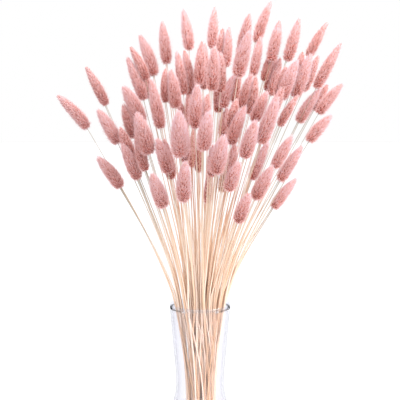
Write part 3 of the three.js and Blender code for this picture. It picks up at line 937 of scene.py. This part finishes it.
# %% The tubes
HEIGHTS = (VASE_HEIGHT, VASE_HEIGHT + 45.0, VASE_HEIGHT + 90.0, VASE_HEIGHT + 130.0, VASE_HEIGHT + 170.0)
RADII = (0.9, 0.72, 0.5, 0.39, 0.32)
STOUTNESS = (0.72, 1.15)
TUBE_SIDES = 6

drawing = random.Random(41)
corners, edges, radii, climbs, tones = [], [], [], [], []
for route in routes:
    first = len(corners)
    stoutness = drawing.uniform(*STOUTNESS)
    shade = drawing.random()
    for k, point in enumerate(route):
        share = k / (len(route) - 1)
        corners.append(tuple(point * MM))
        radii.append(float(np.interp(point[2], HEIGHTS, RADII)) * stoutness * MM)
        climbs.append(share)
        tones.append(shade)
    edges += [(first + k, first + k + 1) for k in range(len(route) - 1)]
lines = bpy.data.meshes.new("stem lines")
lines.from_pydata(corners, edges, [])
for label, values in (("thick", radii), ("climb", climbs), ("tone", tones)):
    lines.attributes.new(label, "FLOAT", "POINT").data.foreach_set("value", values)

tubes = Tree("round tubes", [("Sides", "NodeSocketInt")])
curves = tubes.node("GeometryNodeMeshToCurve", {}, {"Mesh": tubes.asked("Geometry")}).outputs[0]
section = tubes.node("GeometryNodeCurvePrimitiveCircle", {},
                     {"Resolution": tubes.asked("Sides"), "Radius": 1.0})
swept = tubes.node("GeometryNodeCurveToMesh", {},
                   {"Curve": curves, "Profile Curve": section.outputs[0],
                    "Scale": tubes.stored("thick"), "Fill Caps": True}).outputs[0]
rounded = tubes.node("GeometryNodeSetShadeSmooth", {}, {"Geometry": swept}).outputs[0]
tube_tree = tubes.finish(rounded, straw.material)
stems = grown(new_piece("straw_stems", lines), tube_tree, Sides=TUBE_SIDES)
print("stem triangles:", triangles(stems.data))

# %% [markdown]
# ## The glass vase
#
# The vase is blown glass: a wide mouth with a melted, rounded rim, straight flaring sides, a waist
# and a full belly over a heavy floor. A lathe is the natural way to make it. One outline runs up
# the outside, over the rim, down the inside and across the floor, and is turned about the axis.

# %% The outline of the glass
GLASS_WALL = 2.2
UNDER_FOOT = [(20.0, 0.9), (29.0, 0.6), (31.0, 0.0), (33.2, 0.1)]
OUTSIDE_KNOTS = [(34.5, 1.5), (41.0, 36.0), (31.0, 67.0), (24.4, 95.0), (27.6, 141.0), (30.9, 180.0)]
BOWL = [(33.5, 11.0), (31.0, 9.0), (26.0, 8.2), (14.0, 8.0)]
BOWL_CORNER_HEIGHT = GLASS_FLOOR + 5
OUTSIDE_STEPS = 14
RIM_STEPS = 8
VASE_SIDES = 128

knots = np.array([OUTSIDE_KNOTS[0], *OUTSIDE_KNOTS, OUTSIDE_KNOTS[-1]])
outside = smooth_through(knots, OUTSIDE_STEPS)
rim_radius = GLASS_WALL / 2
outside = [p for p in outside if p[1] < VASE_HEIGHT - rim_radius]
rim_middle = np.array([OUTSIDE_KNOTS[-1][0] - rim_radius, VASE_HEIGHT - rim_radius])
rim_angles = np.linspace(0.0, math.pi, RIM_STEPS)
rim = [rim_middle + rim_radius * np.array([math.cos(angle), math.sin(angle)]) for angle in rim_angles]
inside = [p - np.array([GLASS_WALL, 0.0]) for p in outside if p[1] > BOWL_CORNER_HEIGHT][::-1]
outline = [*UNDER_FOOT, *outside, *rim, *inside, *BOWL]
print("outline points:", len(outline))

# %% Turn the outline
corners = [(0.0, 0.0, UNDER_FOOT[0][1] * MM)]
for radius, z in outline:
    for k in range(VASE_SIDES):
        angle = 2 * math.pi * k / VASE_SIDES
        corners.append((radius * math.cos(angle) * MM, radius * math.sin(angle) * MM, z * MM))
corners.append((0.0, 0.0, GLASS_FLOOR * MM))
faces = []
for ring in range(len(outline) - 1):
    for k in range(VASE_SIDES):
        a = 1 + ring * VASE_SIDES + k
        b = 1 + ring * VASE_SIDES + (k + 1) % VASE_SIDES
        faces.append((a, b, b + VASE_SIDES, a + VASE_SIDES))
last = 1 + (len(outline) - 1) * VASE_SIDES
for k in range(VASE_SIDES):
    faces.append((1 + (k + 1) % VASE_SIDES, 1 + k, 0))
    faces.append((last + k, last + (k + 1) % VASE_SIDES, len(corners) - 1))
glass_mesh = bpy.data.meshes.new("clear_vase")
glass_mesh.from_pydata(corners, [], faces)
glass_mesh.polygons.foreach_set("use_smooth", [True] * len(faces))
vase = new_piece("clear_vase", glass_mesh)
print("vase triangles:", triangles(glass_mesh))

# %% [markdown]
# ## The finish of the glass
#
# Clear soda glass has no colour of its own, but light that passes a long way through the wall turns
# slightly grey and cool. That is what draws the two edges of a clear vase on a white ground. The
# left wall is also painted a little greyer, as painted shade for the light coming from the right.
# Rays from a lamp can't be traced back through a bent surface, so the glass lets shadow rays
# straight through, and the stems inside are lit as they are in a real vase.
# The melted rim is so small and so round that bent rays would leave it black. It is seen straight
# through too, with a little shine that shows it as a thin line.

# %% Clear glass
CLEAR, AT_THE_EDGE = paint(250, 249, 251), paint(160, 161, 178)
EDGE_STOPS = (0.5, 0.98)
LESS_ON_RIM = 0.85
RIM_BAND = (0.1748, 0.1772)
LEFT_WALL = (-0.032, -0.01)
LEFT_SHADE_TINT = 0.13
STRAIGHT, STRAIGHT_AT_RIM = paint(252, 251, 252), paint(246, 246, 249)
RIM_SHINE = 0.1
TINT = (0.42, 0.42, 0.66, 1.0)
WHITE = (1.0, 1.0, 1.0, 1.0)

glass = Finish("clear glass")
wear = glass.noise(0.03, 3.0)
grazing = Amount(glass, glass.node("ShaderNodeLayerWeight", {}, {"Blend": 0.5}).outputs["Facing"])
on_rim = glass.ramp(glass.place(UP), *RIM_BAND)
# painted shade: the left wall is tinted greyer, as if less lit than the right
painted_left_shade = 1 - glass.ramp(glass.place(RIGHT), *LEFT_WALL)
edge = glass.ramp(grazing, *EDGE_STOPS) * (1 - LESS_ON_RIM * on_rim)
edge = (edge + LEFT_SHADE_TINT * painted_left_shade).between()
glass.put("Base Color", glass.mix(edge, CLEAR, AT_THE_EDGE))
glass.put("Transmission Weight", 1.0)
glass.put("IOR", 1.47)
glass.put("Specular IOR Level", 0.3)
glass.put("Roughness", 0.02 * glass.ramp(wear, 0.45, 0.8))
print("the rim starts", RIM_BAND[0] / MM, "mm up")


# %% The way through the glass
def either(share, first, second):
    """A shader between two others."""
    sockets = {0: share, 1: first.outputs[0], 2: second.outputs[0]}
    return glass.node("ShaderNodeMixShader", {}, sockets)


shadow = Amount(glass, glass.node("ShaderNodeLightPath").outputs["Is Shadow Ray"])
through = glass.node("ShaderNodeBsdfTransparent", {}, {"Color": STRAIGHT})
rim_clear = glass.node("ShaderNodeBsdfTransparent", {}, {"Color": STRAIGHT_AT_RIM})
shine = glass.node("ShaderNodeBsdfGlossy", {}, {"Color": WHITE, "Roughness": 0.12})
see_through = either(on_rim * (1 - shadow), through, either(RIM_SHINE, rim_clear, shine))
let_through = either((shadow + on_rim).between(), glass.shader, see_through)
glass.end("Surface", let_through.outputs[0])
tint = glass.node("ShaderNodeVolumeAbsorption", {}, {"Color": TINT, "Density": 10.0})
glass.end("Volume", tint.outputs[0])
glass_mesh.materials.append(glass.material)
print("nodes in the glass's finish:", len(glass.tree.nodes))

# %% [markdown]
# ## Put the pieces in their places
#
# Every finished piece rides with the one body that the bunch is and takes the place of its solid.

# %% Ride and replace
for piece, node in head_pieces:
    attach(piece, "root")
    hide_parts(node)
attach(stems, "root")
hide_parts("stems")
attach(vase, "root")
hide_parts("glass_vase")
print("pieces:", len(head_pieces) + 2)

# %% [markdown]
# ## Floor and light
#
# The bunch stands on a pale seamless floor in soft white light. A broad warm lamp high on the right
# gives the heads their pale right edges, a still broader cool one in front keeps the shaded sides
# open, and the white surroundings fill in the rest. What the glass bends comes from all sides, so
# the surroundings are a little darker at the sides and behind the viewer, which draws the edges of
# the vase, and brighter above.

# %% The floor
FLOOR_REACH = 6.0
UNDER_THE_FOOT = 0.0005
FLOOR_COLOUR = (0.5, 0.51, 0.525, 1.0)
floor_mesh = bpy.data.meshes.new("pale floor")
floor_mesh.from_pydata([(-FLOOR_REACH, -FLOOR_REACH, 0), (FLOOR_REACH, -FLOOR_REACH, 0),
                        (FLOOR_REACH, FLOOR_REACH, 0), (-FLOOR_REACH, FLOOR_REACH, 0)], [], [(0, 1, 2, 3)])
floor = new_piece("pale_floor", floor_mesh)
floor.location.z = -UNDER_THE_FOOT
matt = Finish("matt white paper")
matt.put("Base Color", FLOOR_COLOUR)
matt.put("Roughness", 0.9)
matt.put("Specular IOR Level", 0.1)
floor_mesh.materials.append(matt.material)
print("floor:", 2 * FLOOR_REACH, "m across")


# %% The lamps
def soft_sun(name, from_right, from_front, from_above, softness, strength, colour):
    """An even soft light from one side: softness is how wide it is in the sky, in degrees."""
    data = bpy.data.lights.new(name, "SUN")
    data.angle = math.radians(softness)
    data.energy = strength
    data.color = colour
    made = bpy.data.objects.new(name, data)
    made.rotation_euler = Vector((from_right, -from_front, from_above)).to_track_quat("Z", "Y").to_euler()
    bpy.context.scene.collection.objects.link(made)


soft_sun("warm key from the upper right", from_right=0.85, from_front=0.3, from_above=0.8,
         softness=40, strength=3.15, colour=(1.0, 0.965, 0.93))
soft_sun("cool fill from the front", from_right=-0.1, from_front=1.0, from_above=0.4,
         softness=60, strength=1.35, colour=(0.96, 0.98, 1.0))

# %% The surroundings
BRIGHT_SIDE = 0.12
world = bpy.data.worlds.new("white studio")
bpy.context.scene.world = world
world.use_nodes = True
sky = world.node_tree


def sky_node(kind, settings=None, sockets=None):
    """The outputs of a node of the surroundings."""
    return new_node(sky, kind, settings, sockets).outputs


def maths(operation, first, second=0.0):
    """Maths on two numbers of the surroundings."""
    return sky_node("ShaderNodeMath", {"operation": operation}, {0: first, 1: second})[0]


def slope(value, low, high, at_low, at_high, kind="LINEAR"):
    """One number up to low, another from high on, and all between them."""
    sockets = {"Value": value, "From Min": low, "From Max": high, "To Min": at_low, "To Max": at_high}
    return sky_node("ShaderNodeMapRange", {"interpolation_type": kind}, sockets)[0]


outwards = sky_node("ShaderNodeTexCoord")["Generated"]
way_out = sky_node("ShaderNodeSeparateXYZ", {}, {0: outwards})
sideways = maths("ABSOLUTE", maths("SUBTRACT", way_out[RIGHT], BRIGHT_SIDE))
from_front = slope(way_out[BACK], -0.9, 0.3, at_low=0.9, at_high=1.0)
from_side = slope(sideways, 0.5, 0.95, at_low=1.0, at_high=0.75, kind="SMOOTHSTEP")
from_above = slope(way_out[UP], 0.1, 0.9, at_low=1.0, at_high=1.9)
strength = maths("MULTIPLY", maths("MULTIPLY", from_front, from_side), from_above)
lighting = sky_node("ShaderNodeBackground", {}, {"Color": WHITE, "Strength": strength})[0]
seen = sky_node("ShaderNodeBackground", {}, {"Color": WHITE, "Strength": 1.0})[0]
rays = sky_node("ShaderNodeLightPath")["Is Camera Ray"]
chosen = sky_node("ShaderNodeMixShader", {}, {0: rays, 1: lighting, 2: seen})[0]
sky.links.new(chosen, sky.nodes["World Output"].inputs["Surface"])
bpy.context.scene.view_settings.view_transform = "Standard"
print("nodes in the surroundings:", len(sky.nodes))
